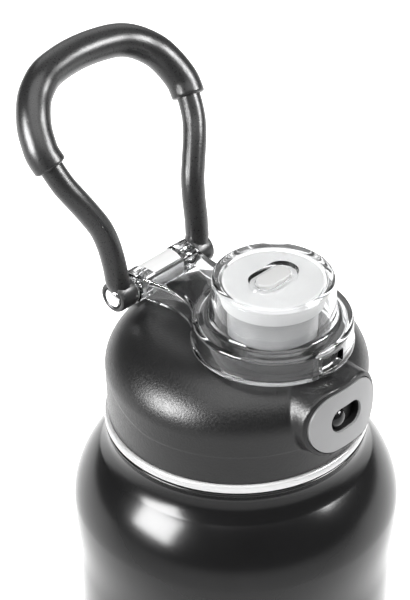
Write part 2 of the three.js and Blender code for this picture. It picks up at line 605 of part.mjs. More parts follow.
function eye(sign) {
  const ends = [sign * EYE_START, sign * EYE_END].sort((a, b) => a - b);
  const outer = sign * (EYE_END - HEAD_DEPTH + (sign > 0 ? 0.1 : -0.2));
  const sink = [outer, sign * (EYE_END + 1)].sort((a, b) => a - b);
  const foot = vec(sign * EYE_X, HINGE_Y, HINGE_Z + PIN_RADIUS + 0.6);
  const spigot = new THREE.CatmullRomCurve3([foot, bow.getPointAt(sign < 0 ? 0.001 : 0.999),
    bow.getPointAt(sign < 0 ? SPIGOT_END : 1 - SPIGOT_END)]);
  return crossCylinder(EYE_RADIUS, ...ends).add(swept(spigot, 5, CORE_RADIUS))
    .subtract(crossCylinder(PIN_RADIUS + GAP, -EYE_END - 2, EYE_END + 2))
    .subtract(crossCylinder(HEAD_RADIUS + GAP, ...sink));
}

add('left_eye', eye(-1), blackPlastic);
add('right_eye', eye(1), blackPlastic);
const coreLine = bowStretch(SPIGOT_END + END_GAP, 1 - SPIGOT_END - END_GAP);
const leftLine = bowStretch(END_GAP, GRIP_START);
const rightLine = bowStretch(1 - GRIP_START, 1 - END_GAP);
const gripLine = bowStretch(GRIP_START + 1.5 * END_GAP, 1 - GRIP_START - 1.5 * END_GAP);
add('bow_core', swept(coreLine, 30, CORE_RADIUS, 6), brushedSteel);
add('left_leg_sleeve', swept(leftLine, 9, LEG_RADIUS, 10, SLEEVE_BORE), softRubber);
add('right_leg_sleeve', swept(rightLine, 9, LEG_RADIUS, 10, SLEEVE_BORE), softRubber);
add('grip_sleeve', swept(gripLine, 20, GRIP_RADIUS, 12, SLEEVE_BORE), softRubber);

export default bottle;
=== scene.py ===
"""Looks of an insulated sports bottle: flask, screw lid, clear flip cover, latch button and carrying bow."""

import logging
import math
from dataclasses import dataclass
from enum import Enum
from typing import Callable, Iterable, Sequence

import bmesh
import bpy
from mathutils import Matrix, Vector

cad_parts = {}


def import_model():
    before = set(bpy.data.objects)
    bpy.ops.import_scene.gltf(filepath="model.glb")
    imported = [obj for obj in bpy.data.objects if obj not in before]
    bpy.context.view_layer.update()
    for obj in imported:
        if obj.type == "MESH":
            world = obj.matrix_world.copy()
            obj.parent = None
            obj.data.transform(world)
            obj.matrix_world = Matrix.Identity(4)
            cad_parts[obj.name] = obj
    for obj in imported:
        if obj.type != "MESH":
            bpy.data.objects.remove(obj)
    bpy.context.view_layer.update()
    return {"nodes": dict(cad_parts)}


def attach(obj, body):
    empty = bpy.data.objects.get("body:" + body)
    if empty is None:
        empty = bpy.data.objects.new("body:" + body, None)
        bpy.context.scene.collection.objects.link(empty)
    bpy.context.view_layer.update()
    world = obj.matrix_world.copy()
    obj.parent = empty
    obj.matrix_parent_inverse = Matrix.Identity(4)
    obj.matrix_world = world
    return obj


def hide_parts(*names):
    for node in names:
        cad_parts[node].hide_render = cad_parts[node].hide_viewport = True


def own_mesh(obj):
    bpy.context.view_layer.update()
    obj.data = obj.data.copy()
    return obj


MM = 0.001
# Places shared by several pieces, in millimetres like every other size.
RIM = 208.0
COVER_Y = -13.0
SPOUT_TOP = 250.2
HINGE_Y, HINGE_Z = 30.1, 238.6
LOG = logging.getLogger("bottle")
Point = tuple[float, float]
Object = bpy.types.Object
Tree = bpy.types.NodeTree
Socket = bpy.types.NodeSocket


def map_range(tree: Tree, source: Socket, given: Point, wanted: Point = (0, 1), smooth: bool = True) -> Socket:
    """Adds a node that takes one range of values to another.

    Args:
        tree: Node tree of the material.
        source: What it reads.
        given: Lower and upper end of the values that it reads.
        wanted: Lower and upper end of the values that it gives.
        smooth: Whether it eases in and out.

    Returns:
        Its result.
    """
    node = tree.nodes.new("ShaderNodeMapRange")
    node.interpolation_type = "SMOOTHSTEP" if smooth else "LINEAR"
    for socket, value in zip(("From Min", "From Max", "To Min", "To Max"), (*given, *wanted)):
        node.inputs[socket].default_value = value
    tree.links.new(source, node.inputs["Value"])
    return node.outputs["Result"]


# ---- finishes -----------------------------------------------------------------------------
class Surface(Enum):
    """What a finish is made of, which decides the fine detail of its surface."""

    PAINT = "paint"
    MOULDED = "moulded"
    RUBBER = "rubber"
    METAL = "metal"
    # Near-white and hardly metallic: its colour is a painted reflection of the pale floor.
    SATIN = "satin metal"
    CLEAR = "clear"
    SOFT_CLEAR = "soft clear"


@dataclass(frozen=True)
class Finish:
    """One finish of the bottle; its grain and the grain's depth are in millimetres."""

    slot: str
    surface: Surface
    base: tuple[float, float, float]
    roughness: float
    spread: float = 0.05
    grain: float = 0.5
    depth: float = 0.01
    mottle: float = 0.12
    look: str = "plain"

    def material(self) -> bpy.types.Material:
        """Builds the node material, or returns the one built before.

        Returns:
            The material of this finish.
        """
        name = f"{self.slot}_{self.look}"
        known = bpy.data.materials.get(name)
        if known:
            return known
        made = bpy.data.materials.new(name)
        made.use_nodes = True
        tree = made.node_tree
        shader = tree.nodes["Principled BSDF"]
        place = tree.nodes.new("ShaderNodeTexCoord").outputs["Object"]
        self._spread_tone(tree, shader, self._noise(tree, place, 14, 3.0))
        grain = self._noise(tree, place, self.grain, 4.0)
        gloss = (max(0.0, self.roughness - self.spread), self.roughness + self.spread)
        tree.links.new(map_range(tree, grain, (0.3, 0.7), gloss, False), shader.inputs["Roughness"])
        normal = self._bump(tree, grain, 1.0, self.depth)
        if self.look == "creased":
            normal = self._crease(tree, place, normal)
        tree.links.new(normal, shader.inputs["Normal"])
        self._set_shader(shader)
        return made

    @staticmethod
    def _noise(tree: Tree, place: Socket, size: float, detail: float) -> Socket:
        """Adds a noise in object space.

        Args:
            tree: Node tree of the material.
            place: Object coordinates.
            size: Size of its clouds, in millimetres.
            detail: Octaves.

        Returns:
            The noise.
        """
        noise = tree.nodes.new("ShaderNodeTexNoise")
        noise.inputs["Scale"].default_value = 1 / (size * MM)
        noise.inputs["Detail"].default_value = detail
        tree.links.new(place, noise.inputs["Vector"])
        return noise.outputs["Fac"]

    def _spread_tone(self, tree: Tree, shader: bpy.types.Node, cloud: Socket) -> None:
        """Varies the colour slowly over the surface.

        Args:
            tree: Node tree of the material.
            shader: Principled shader.
            cloud: Coarse noise.
        """
        ramp = tree.nodes.new("ShaderNodeValToRGB")
        ends = ((0.3, 1 - self.mottle), (0.7, 1 + self.mottle))
        for element, (position, share) in zip(ramp.color_ramp.elements, ends):
            element.position = position
            element.color = (*(min(1.0, c * share) for c in self.base), 1)
        tree.links.new(cloud, ramp.inputs["Fac"])
        tree.links.new(ramp.outputs["Color"], shader.inputs["Base Color"])

    @staticmethod
    def _bump(tree: Tree, height: Socket, strength: float, depth: float, under: Socket | None = None) -> Socket:
        """Adds a relief.

        Args:
            tree: Node tree of the material.
            height: Pattern that is raised.
            strength: Share of the relief that shows.
            depth: Its depth, in millimetres.
            under: Relief that it lies on.

        Returns:
            The normal of the relief.
        """
        bump = tree.nodes.new("ShaderNodeBump")
        bump.inputs["Strength"].default_value = strength
        bump.inputs["Distance"].default_value = depth * MM
        tree.links.new(height, bump.inputs["Height"])
        if under:
            tree.links.new(under, bump.inputs["Normal"])
        return bump.outputs["Normal"]

    @staticmethod
    def _crease(tree: Tree, place: Socket, under: Socket) -> Socket:
        """Adds the faint ledge that runs round the side of the lid and climbs towards the hinge.

        Args:
            tree: Node tree of the material.
            place: Object coordinates.
            under: Relief of the grain.

        Returns:
            The normal of both.
        """
        parts = tree.nodes.new("ShaderNodeSeparateXYZ")
        tree.links.new(place, parts.inputs["Vector"])
        climb = map_range(tree, parts.outputs["Y"], (-4 * MM, 30 * MM), (0.0, 7 * MM))
        over = tree.nodes.new("ShaderNodeMath")
        over.operation = "SUBTRACT"
        tree.links.new(parts.outputs["Z"], over.inputs[0])
        tree.links.new(climb, over.inputs[1])
        ledge = map_range(tree, over.outputs["Value"], (216.8 * MM, 217.5 * MM))
        return Finish._bump(tree, ledge, 0.8, 0.07, under)

    def _set_shader(self, shader: bpy.types.Node) -> None:
        """Sets what is the same all over the surface.

        Args:
            shader: Principled shader.
        """
        values: dict[Surface, dict[str, float | tuple[float, ...]]] = {
            Surface.PAINT: {"Specular IOR Level": 0.32},
            Surface.MOULDED: {"Specular IOR Level": 0.38},
            Surface.RUBBER: {"Specular IOR Level": 0.5, "Sheen Weight": 0.06, "Sheen Roughness": 0.45},
            Surface.METAL: {"Metallic": 1.0},
            Surface.SATIN: {"Metallic": 0.05, "Specular IOR Level": 0.6},
            Surface.CLEAR: {"Transmission Weight": 1.0, "IOR": 1.47},
            Surface.SOFT_CLEAR: {
                "IOR": 1.41, "Subsurface Weight": 0.3,
                "Subsurface Scale": 0.003, "Subsurface Radius": (1.0, 1.0, 1.0),
            },
        }
        for socket, value in values[self.surface].items():
            shader.inputs[socket].default_value = value


POWDER_COAT = Finish("powder_coat", Surface.PAINT, (0.012, 0.012, 0.0125), 0.2, 0.03, 0.35, 0.002)
LID_PLASTIC = Finish(
    "black_plastic", Surface.MOULDED, (0.014, 0.014, 0.0145), 0.35, 0.07, 0.6, 0.06, look="creased",
)
BLACK_PLASTIC = Finish(
    "black_plastic", Surface.MOULDED, (0.014, 0.014, 0.0145), 0.34, 0.06, 0.6, 0.04,
)
GLOSSY_BLACK = Finish(
    "black_plastic", Surface.MOULDED, (0.01, 0.01, 0.0105), 0.16, 0.03, 0.8, 0.002, look="glossy",
)
# Nearly black: painted shade inside the button slot, on its sleeve and on the latch hook behind it.
SLOT_PAINTED_SHADE = Finish(
    "black_plastic", Surface.MOULDED, (0.004, 0.004, 0.0042), 0.5, 0.05, 0.5, 0.01, look="dark",
)
EYE_BLACK = Finish(
    "black_plastic", Surface.RUBBER, (0.024, 0.024, 0.0245), 0.32, 0.06, 0.5, 0.02, look="eye",
)
GREY_PLASTIC = Finish(
    "grey_plastic", Surface.MOULDED, (0.4, 0.4, 0.405), 0.38, 0.05, 0.4, 0.006, 0.04,
)
FROSTED_WHITE = Finish(
    "white_plastic", Surface.MOULDED, (0.36, 0.36, 0.36), 0.3, 0.05, 0.5, 0.004, 0.04, look="frosted",
)
WHITE_PLASTIC = Finish(
    "white_plastic", Surface.MOULDED, (0.95, 0.95, 0.945), 0.35, 0.05, 0.5, 0.004, 0.02,
)
SILICONE = Finish("silicone", Surface.SOFT_CLEAR, (0.72, 0.72, 0.715), 0.42, 0.05, 0.5, 0.005, 0.03)
RUBBER = Finish("rubber", Surface.RUBBER, (0.022, 0.022, 0.0225), 0.31, 0.06, 0.45, 0.03)
SMOKED_CLEAR = Finish(
    "smoked_clear", Surface.CLEAR, (0.87, 0.875, 0.88), 0.02, 0.01, 2.5, 0.001, 0.02,
)
POLISHED_STEEL = Finish(
    "polished_steel", Surface.METAL, (0.88, 0.88, 0.885), 0.1, 0.03, 1.2, 0.001, 0.03,
)
# Neck ring: near-white colour that is a painted reflection of the pale floor, in place of mirror steel.
RING_PAINTED_REFLECTION = Finish(
    "polished_steel", Surface.SATIN, (0.99, 0.99, 0.99), 0.3, 0.02, 0.8, 0.0005, 0.005, look="satin",
)
STEEL = Finish("steel", Surface.METAL, (0.6, 0.6, 0.605), 0.3, 0.08, 0.6, 0.004, 0.08)


# ---- bench --------------------------------------------------------------------------------
class Bench:
    """The modelling moves that every piece is made with."""

    @staticmethod
    def clear() -> None:
        """Leaves edit mode and deselects everything."""
        if bpy.context.object and bpy.context.object.mode != "OBJECT":
            bpy.ops.object.mode_set(mode="OBJECT")
        bpy.ops.object.select_all(action="DESELECT")

    @staticmethod
    def pick(piece: Object) -> None:
        """Makes one piece the only selected and active one."""
        Bench.clear()
        piece.select_set(True)
        bpy.context.view_layer.objects.active = piece

    @staticmethod
    def trace(name: str, points: Sequence[Vector], closed: bool = False) -> Object:
        """Draws a line by extruding one vertex from point to point.

        Args:
            name: Name of the piece.
            points: Its points, in millimetres.
            closed: Whether the line comes back to its start.

        Returns:
            The piece, left in edit mode with the whole line selected.
        """
        Bench.clear()
        line = [Vector(p) * MM for p in points]
        bpy.ops.mesh.primitive_plane_add(size=MM)
        piece = bpy.context.object
        piece.name = name
        bpy.ops.object.mode_set(mode="EDIT")
        bpy.ops.mesh.select_mode(type="VERT")
        bpy.ops.mesh.select_all(action="SELECT")
        bpy.ops.mesh.merge(type="CENTER")
        bpy.ops.transform.translate(value=line[0])
        route = line + [line[0]] if closed else line
        for start, end in zip(route, route[1:]):
            bpy.ops.mesh.extrude_vertices_move(TRANSFORM_OT_translate={"value": end - start})
        bpy.ops.mesh.select_all(action="SELECT")
        bpy.ops.mesh.remove_doubles(threshold=1e-6)
        bpy.ops.mesh.select_all(action="SELECT")
        return piece

    @staticmethod
    def seal() -> None:
        """Merges doubles and turns the faces outwards, then leaves edit mode."""
        bpy.ops.mesh.select_all(action="SELECT")
        bpy.ops.mesh.remove_doubles(threshold=2e-6)
        bpy.ops.mesh.select_all(action="SELECT")
        bpy.ops.mesh.normals_make_consistent(inside=False)
        bpy.ops.object.mode_set(mode="OBJECT")

    @staticmethod
    def turn(
        name: str, section: Sequence[Point], centre: Point = (0, 0), segments: int = 128, closed: bool = False
    ) -> Object:
        """Turns a section of (radius, height) points about an upright axis.

        Args:
            name: Name of the piece.
            section: The section's points, in millimetres.
            centre: Where the axis stands.
            segments: Steps round the axis.
            closed: Whether the section is a closed ring.

        Returns:
            The turned piece.
        """
        x, y = centre
        piece = Bench.trace(name, [Vector((x + r, y, z)) for r, z in section], closed)
        bpy.ops.mesh.spin(steps=segments, angle=math.tau, center=(x * MM, y * MM, 0), axis=(0, 0, 1))
        Bench.seal()
        return piece

    @staticmethod
    def turn_across(
        name: str, section: Sequence[Point], y: float, z: float, segments: int = 64, closed: bool = False
    ) -> Object:
        """Turns a section of (radius, x) points about a line along X.

        Args:
            name: Name of the piece.
            section: The section's points, in millimetres.
            y: Where the line runs.
            z: Its height.
            segments: Steps round the line.
            closed: Whether the section is a closed ring.

        Returns:
            The turned piece.
        """
        piece = Bench.trace(name, [Vector((x, y, z + r)) for r, x in section], closed)
        bpy.ops.mesh.spin(steps=segments, angle=math.tau, center=(0, y * MM, z * MM), axis=(1, 0, 0))
        Bench.seal()
        return piece

    @staticmethod
    def prism(name: str, outline: Sequence[Vector], along: Vector) -> Object:
        """Fills an outline and pulls it out to a solid.

        Args:
            name: Name of the piece.
            outline: Points of the outline, in millimetres.
            along: How far it is pulled, in millimetres.

        Returns:
            The solid.
        """
        piece = Bench.trace(name, outline, True)
        bpy.ops.mesh.edge_face_add()
        bpy.ops.mesh.extrude_region_move(TRANSFORM_OT_translate={"value": Vector(along) * MM})
        Bench.seal()
        return piece

    @staticmethod
    def flared(
        name: str, outline: Sequence[Vector], along: Sequence[float],
        grow: Sequence[float], centre: Sequence[float],
    ) -> Object:
        """Fills an outline, pulls it out to a solid and widens its far end.

        Args:
            name: Name of the piece.
            outline: Points of the outline, in millimetres.
            along: How far it is pulled, in millimetres.
            grow: Scale of the far end along each axis.
            centre: Middle of the far end, in millimetres.

        Returns:
            The solid.
        """
        piece = Bench.trace(name, outline, True)
        bpy.ops.mesh.edge_face_add()
        bpy.ops.mesh.extrude_region_move(TRANSFORM_OT_translate={"value": [c * MM for c in along]})
        bpy.ops.transform.resize(value=grow, center_override=[c * MM for c in centre])
        Bench.seal()
        return piece

    @staticmethod
    def block(name: str, low: Sequence[float], high: Sequence[float]) -> Object:
        """Makes a tool block between two corners, in millimetres."""
        (x0, y0, z0), (x1, y1, z1) = low, high
        outline = [Vector(p) for p in ((x0, y0, z0), (x1, y0, z0), (x1, y1, z0), (x0, y1, z0))]
        return Bench.prism(name, outline, Vector((0, 0, z1 - z0)))

    @staticmethod
    def combine(piece: Object, tools: Iterable[Object], operation: str, solver: str = "MANIFOLD") -> Object:
        """Joins tools to a piece, cuts them from it or keeps what they share, and uses them up.

        Args:
            piece: The piece that is changed.
            tools: The other pieces.
            operation: UNION, DIFFERENCE or INTERSECT.
            solver: Boolean solver.

        Returns:
            The changed piece.
        """
        for tool in tools:
            Bench.pick(piece)
            step = piece.modifiers.new("combine", "BOOLEAN")
            step.operation = operation
            step.solver = solver
            step.object = tool
            bpy.ops.object.modifier_apply(modifier=step.name)
            bpy.data.objects.remove(tool)
        return piece

    @staticmethod
    def round_edges(
        piece: Object, width: float, segments: int, angle: float = 30,
        where: Callable[[Vector], bool] | None = None,
    ) -> Object:
        """Rounds the sharp edges of a piece.

        Args:
            piece: The piece.
            width: Width of the rounding, in millimetres.
            segments: Steps across the rounding.
            angle: Least angle between faces, in degrees, that counts as sharp.
            where: Test of an edge's middle, in millimetres; all sharp edges without it.

        Returns:
            The piece.
        """
        Bench.pick(piece)
        bpy.ops.object.mode_set(mode="EDIT")
        bpy.ops.mesh.select_mode(type="EDGE")
        bpy.ops.mesh.select_all(action="DESELECT")
        mesh = bmesh.from_edit_mesh(piece.data)
        for edge in mesh.edges:
            if len(edge.link_faces) != 2 or edge.calc_face_angle(0) < math.radians(angle):
                continue
            middle = (edge.verts[0].co + edge.verts[1].co) / 2 / MM
            edge.select_set(where is None or where(middle))
        bmesh.update_edit_mesh(piece.data)
        bpy.ops.mesh.bevel(offset=width * MM, segments=segments, affect="EDGES", clamp_overlap=True)
        bpy.ops.object.mode_set(mode="OBJECT")
        return piece

    @staticmethod
    def soften(piece: Object, voxel: float, rounds: int) -> Object:
        """Rebuilds a joined solid as one even skin and smooths its inner corners.

        Args:
            piece: The solid.
            voxel: Size of the skin's cells, in millimetres.
            rounds: Smoothing rounds.

        Returns:
            The solid with its soft corners.
        """
        Bench.pick(piece)
        skin = piece.modifiers.new("skin", "REMESH")
        skin.mode = "VOXEL"
        skin.voxel_size = voxel * MM
        bpy.ops.object.modifier_apply(modifier=skin.name)
        relax = piece.modifiers.new("relax", "SMOOTH")
        relax.factor = 0.5
        relax.iterations = rounds
        bpy.ops.object.modifier_apply(modifier=relax.name)
        return piece

    @staticmethod
    def tube(name: str, line: Sequence[Vector], radii: Sequence[float], sides: int = 12) -> Object:
        """Makes a round bar along a line, thick as the radii say.

        Args:
            name: Name of the piece.
            line: Points of its middle line, in millimetres.
            radii: Radius at each point, in millimetres.
            sides: Steps in each quarter of its section.

        Returns:
            The bar as a mesh.
        """
        Bench.clear()
        bpy.ops.curve.primitive_nurbs_path_add()
        piece = bpy.context.object
        piece.name = name
        curve = piece.data
        curve.splines.clear()
        spline = curve.splines.new("POLY")
        spline.points.add(len(line) - 1)
        for knot, place, radius in zip(spline.points, line, radii):
            knot.co = (*(Vector(place) * MM), 1)
            knot.radius = radius
        curve.dimensions = "3D"
        curve.twist_mode = "MINIMUM"
        curve.bevel_depth = MM
        curve.bevel_resolution = sides
        curve.use_fill_caps = True
        bpy.ops.object.convert(target="MESH")
        piece = bpy.context.object
        bpy.ops.object.mode_set(mode="EDIT")
        Bench.seal()
        return piece

    @staticmethod
    def finish(
        piece: Object, finish: Finish, body: str, nodes: Sequence[str] = (), smooth: float = 40
    ) -> Object:
        """Places, shades and dresses a piece, and hands it to its body.

        Args:
            piece: The piece.
            finish: Its finish.
            body: The moving body that it rides on.
            nodes: The solids of the frame that it stands for.
            smooth: Largest angle, in degrees, that is shaded smoothly.

        Returns:
            The finished piece.
        """
        Bench.pick(piece)
        bpy.ops.object.transform_apply(location=True, rotation=True, scale=True)
        bpy.ops.object.shade_smooth_by_angle(angle=math.radians(smooth))
        piece.data.materials.clear()
        piece.data.materials.append(finish.material())
        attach(piece, body)
        if nodes:
            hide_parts(*nodes)
        LOG.info("%s on %s: %d faces", piece.name, body, len(piece.data.polygons))
        return piece


class Form:
    """Outlines and sections shared by the pieces."""

    @staticmethod
    def super_arc(start: Point, end: Point, power: float, steps: int) -> list[Point]:
        """Quarter superellipse that leaves its start upright and reaches its end level.

        Args:
            start: Radius and height where it starts.
            end: Radius and height where it ends.
            power: Squareness; 2 is an ellipse.
            steps: Number of steps.

        Returns:
            The points, both ends included.
        """
        (r0, z0), (r1, z1) = start, end
        points = []
        for i in range(steps + 1):
            t = i * math.pi / 2 / steps
            out, up = abs(math.cos(t)) ** (2 / power), abs(math.sin(t)) ** (2 / power)
            points.append((r1 + (r0 - r1) * out, z0 + (z1 - z0) * up))
        return points

    @staticmethod
    def arc(centre: Point, radius: float, start: float, end: float, steps: int) -> list[Point]:
        """Points of a circular arc, angles in degrees, both ends included."""
        turns = [math.radians(start + (end - start) * i / steps) for i in range(steps + 1)]
        return [(centre[0] + radius * math.cos(t), centre[1] + radius * math.sin(t)) for t in turns]

    @staticmethod
    def stadium(length: float, height: float, steps: int = 24) -> list[Point]:
        """Outline with two straight sides and two round ends, long side along the first axis."""
        radius = height / 2
        half = length / 2 - radius
        return Form.arc((half, 0), radius, -90, 90, steps) + Form.arc((-half, 0), radius, 90, 270, steps)

    @staticmethod
    def smooth_line(knots: Sequence[Vector], steps: int) -> list[Vector]:
        """Even points on the centripetal curve through the knots.

        Args:
            knots: Points that the curve passes through.
            steps: Number of even steps.

        Returns:
            The points, both ends included.
        """
        ends = [2 * knots[0] - knots[1], *knots, 2 * knots[-1] - knots[-2]]
        fine: list[Vector] = []
        for a, b, c, d in zip(ends, ends[1:], ends[2:], ends[3:]):
            ta = 0.0
            tb = ta + math.sqrt((b - a).length)
            tc = tb + math.sqrt((c - b).length)
            td = tc + math.sqrt((d - c).length)
            for i in range(40):
                t = tb + (tc - tb) * i / 40
                p = a.lerp(b, (t - ta) / (tb - ta))
                q = b.lerp(c, (t - tb) / (tc - tb))
                r = c.lerp(d, (t - tc) / (td - tc))
                u = p.lerp(q, (t - ta) / (tc - ta))
                v = q.lerp(r, (t - tb) / (td - tb))
                fine.append(u.lerp(v, (t - tb) / (tc - tb)))
        fine.append(knots[-1].copy())
        runs = [0.0]
        for a, b in zip(fine, fine[1:]):
            runs.append(runs[-1] + (b - a).length)
        even, k = [], 0
        for i in range(steps + 1):
            want = runs[-1] * i / steps
            while k < len(runs) - 2 and runs[k + 1] < want:
                k += 1
            even.append(fine[k].lerp(fine[k + 1], (want - runs[k]) / max(runs[k + 1] - runs[k], 1e-9)))
        return even


# ---- flask --------------------------------------------------------------------------------
@dataclass
class Flask:
    """The double-walled steel flask, up to the bright ring under the lid."""

    rim: float = RIM
    wall_radius: float = 44.8
    swell: float = 1.4
    shoulder: float = 25.6
    shoulder_drop: float = 4.1
    shoulder_end: float = 23.5
    squareness: float = 1.72
    blend: float = 21.6
    steel: float = 0.6
    corner: float = 4.0
    neck: float = 36.3
    ring: float = 37.05

    def build(self) -> None:
        """Builds the coated wall, the ring and the foot."""
        self._wall()
        self._ring()
        self._foot()

    def _wall(self) -> None:
        """Turns the coated outer wall with its rolled shoulder and beaded neck."""
        rim, crown_top = self.rim, self.rim - self.shoulder_drop
        widest = crown_top - self.shoulder
        low = Form.arc((self.wall_radius - self.corner, self.corner), self.corner, -90, 0, 10)
        roll = []
        for i in range(16):
            out = self.swell * (1 - math.cos(i * math.pi / 16)) / 2
            roll.append((self.wall_radius + out, widest - self.blend * (1 - i / 16)))
        belly = (self.wall_radius + self.swell, widest)
        crown = Form.super_arc(belly, (self.shoulder_end, crown_top), self.squareness, 60)
        crown = [p for p in crown if p[0] > self.neck + 1.9]
        waist = ((0.95, 10.1), (0.4, 9.1), (0, 7.6), (-0.1, 6.2), (0, 5.2), (0.35, 4.5))
        neck = [(self.neck + out, rim - down) for out, down in waist]
        bead = Form.arc((self.neck + 0.1, rim - 3.6), 0.55, -50, 60, 6)
        outside = low + roll + crown + neck + bead
        lining = [(r - self.steel, z) for r, z in reversed(roll + crown + neck)]
        foot = self.wall_radius - self.corner - 1.2
        inner_foot = [(self.wall_radius - self.steel, 8), (foot, 5), (foot, 0.0)]
        section = [*outside, (self.neck - 0.6, rim - 3.1), *lining, *inner_foot]
        piece = Bench.turn("flask_wall", section, segments=192, closed=True)
        Bench.finish(piece, POWDER_COAT, "flask", ["outer_shell"], 35)

    def _ring(self) -> None:
        """Turns the polished ring that closes the neck."""
        low, high, bore = self.rim - 2.55, self.rim - 0.3, 30.5
        section = [(bore, low), (self.ring - 0.55, low)]
        section += Form.arc((self.ring - 0.35, low + 0.4), 0.35, -70, 0, 5)
        section += [(self.ring - 0.08, high - 0.9)]
        section += Form.arc((self.ring - 0.95, high - 0.75), 0.75, 10, 88, 6)
        section += [(bore, high)]
        piece = Bench.turn("neck_ring_bright", section, segments=192, closed=True)
        # The ring's near-white colour is a painted reflection of the floor that it mirrors.
        Bench.finish(piece, RING_PAINTED_REFLECTION, "flask", ["neck_ring"], 50)

    def _foot(self) -> None:
        """Turns the dished steel base plate with its raised middle and weld cup."""
        rim = self.wall_radius - self.corner - 1.5
        section = [(rim, 0.0), (rim, 0.6), (0, 0.6), (0, 0.3), (5.8, 0.3), (6.6, 0.2), (rim - 7, 0.2)]
        section += [(rim - 6, 0.12), (rim - 4.5, 0.03), (rim - 2, 0.0)]
        piece = Bench.turn("base_plate_dished", section, segments=128, closed=True)
        Bench.finish(piece, STEEL, "flask", ["base_plate"], 25)


# ---- lid ----------------------------------------------------------------------------------
@dataclass
class Lid:
    """The screw lid: dome, button housing, rear pedestal, curb and spout."""

    rim: float = RIM
    radius: float = 36.0
    side: float = 15.2
    height: float = 28.6
    wall: float = 2.3
    flat: float = 20.5
    squareness: float = 1.8
    boss: Point = (28.5, 19.6)
    room: Point = (26.6, 17.7)
    curb: float = 14.5
    curb_height: float = 4.4
    curb_round: float = 0.7
    spout_hole: float = 12.5
    spout_radius: float = 12.2
    spout_bore: float = 9.5
    spout_foot: float = 227.1
    flange: float = 14.8
    cover_y: float = COVER_Y
    face: float = 40.4
    lean: float = 0.1
    button_z: float = 224.65
    hinge_y: float = HINGE_Y
    hinge_z: float = HINGE_Z

    def build(self) -> None:
        """Builds the shell and the spout."""
        self._shell()
        self._spout()

    def _dome(self, wall: float) -> list[Point]:
        """Section of the dome from its side to its flat top, moved in by a wall."""
        side = (self.radius + 0.6 - wall, self.rim + self.side)
        return Form.super_arc(side, (self.flat - wall, self.rim + self.height - wall), self.squareness, 24)

    def front(self, name: str, length: float, height: float, back: float, draft: float = 0) -> Object:
        """Pulls a stadium forward out of the lid, wider at its root by the draft.

        Args:
            name: Name of the solid.
            length: Length of the stadium at its front.
            height: Its height.
            back: Where its root is, behind the front of the lid.
            draft: How much wider it is at its root than at its front.

        Returns:
            The solid.
        """
        outline = [Vector((x, -self.face - 6, self.button_z + z)) for x, z in Form.stadium(length, height)]
        grow = (1 + 2 * draft / length, 1, 1 + 2 * draft / height)
        return Bench.flared(name, outline, (0, self.face + 6 - back, 0), grow, (0, -back, self.button_z))

    def drum(self, radius: float) -> Object:
        """Turns the leaning drum whose radius is given at the middle of the button."""
        reach = 25.0
        low, high, lean = self.button_z - reach, self.button_z + reach, self.lean * reach
        section = [(0, low), (radius + lean, low), (radius - lean, high), (0, high)]
        return Bench.turn("drum", section, segments=192)

    def _shell(self) -> None:
        """Joins dome, housing and pedestal, softens them together, adds the curb and cuts the openings."""
        rim, top, spout = self.rim, self.rim + self.height, (0, self.cover_y)
        section = [(0, rim - 4), (self.radius, rim - 4), (self.radius, rim), *self._dome(0), (0, top)]
        shell = Bench.turn("lid_shell", section, segments=160)
        boss = self.front("boss", *self.boss, 21.0, 0.6)
        Bench.combine(boss, [self.drum(self.face - 0.3)], "INTERSECT")
        Bench.round_edges(boss, 0.7, 3, 50)
        low, high = (-7.5, self.hinge_y - 6.5, rim + self.side), (7.5, self.radius + 2, self.hinge_z - 5.05)
        pedestal = Bench.block("pedestal", low, high)
        section = [(0, rim), (self.radius + 0.4, rim), (self.radius - 0.4, top), (0, top)]
        Bench.combine(pedestal, [Bench.turn("bound", section)], "INTERSECT")
        Bench.combine(shell, [boss, pedestal], "UNION")
        Bench.soften(shell, 0.5, 5)
        edge = Form.arc((self.curb - self.curb_round, top + self.curb_height - self.curb_round),
                        self.curb_round, 0, 90, 5)
        section = [(0, top - 1), (self.curb, top - 1), *edge, (0, top + self.curb_height)]
        curb = Bench.turn("curb", section, spout)
        bore = self.radius - self.wall
        section = [(0, rim - 9), (bore, rim - 9), *self._dome(self.wall), (0, top - self.wall)]
        hollow = Bench.turn("hollow", section)
        section = [(30, rim - 9), (40, rim - 9), (40, rim), (30, rim)]
        skirt = Bench.turn("skirt", section, segments=160, closed=True)
        section = [(0, rim), (self.spout_hole, rim), (self.spout_hole, top + 5), (0, top + 5)]
        spout_hole = Bench.turn("spout_hole", section, spout, 96)
        room = self.front("room", *self.room, 25.2)
        Bench.combine(room, [self.drum(self.radius - 1.4)], "DIFFERENCE")
        half, behind, z = 3.4, -27.85, self.button_z
        tunnel = Bench.block("tunnel", (-half, -self.radius - 1, z + 2.4), (half, behind, z + 6))
        shaft = Bench.block("shaft", (-half, -32.95, z + 4), (half, behind, top + 1))
        low = (-5.2, self.hinge_y - 2.9, self.hinge_z - 10.35)
        pocket = Bench.block("pocket", low, (5.2, self.hinge_y + 2.1, self.hinge_z - 3))
        Bench.combine(shell, [skirt, hollow], "DIFFERENCE")
        Bench.combine(shell, [curb], "UNION")
        Bench.combine(shell, [spout_hole, room, tunnel, shaft, pocket], "DIFFERENCE")
        Bench.finish(shell, LID_PLASTIC, "lid", ["cap_shell"], 42)

    def _spout(self) -> None:
        """Turns the drinking spout with its flange and rolled lip."""
        foot, top, radius, bore = self.spout_foot, SPOUT_TOP, self.spout_radius, self.spout_bore
        section = [(bore, foot), (self.flange, foot), (self.flange, foot + 2.3), (radius + 0.3, foot + 2.3)]
        section += [(radius, foot + 2.8), (radius, top - 0.9)]
        section += Form.arc((radius - 0.9, top - 0.9), 0.9, 0, 90, 6)
        section += [*Form.arc((bore + 0.7, top - 0.7), 0.7, 90, 180, 5), (bore, top - 1.2)]
        piece = Bench.turn("spout_lip", section, (0, self.cover_y), 128, True)
        Bench.finish(piece, FROSTED_WHITE, "lid", ["spout"], 40)


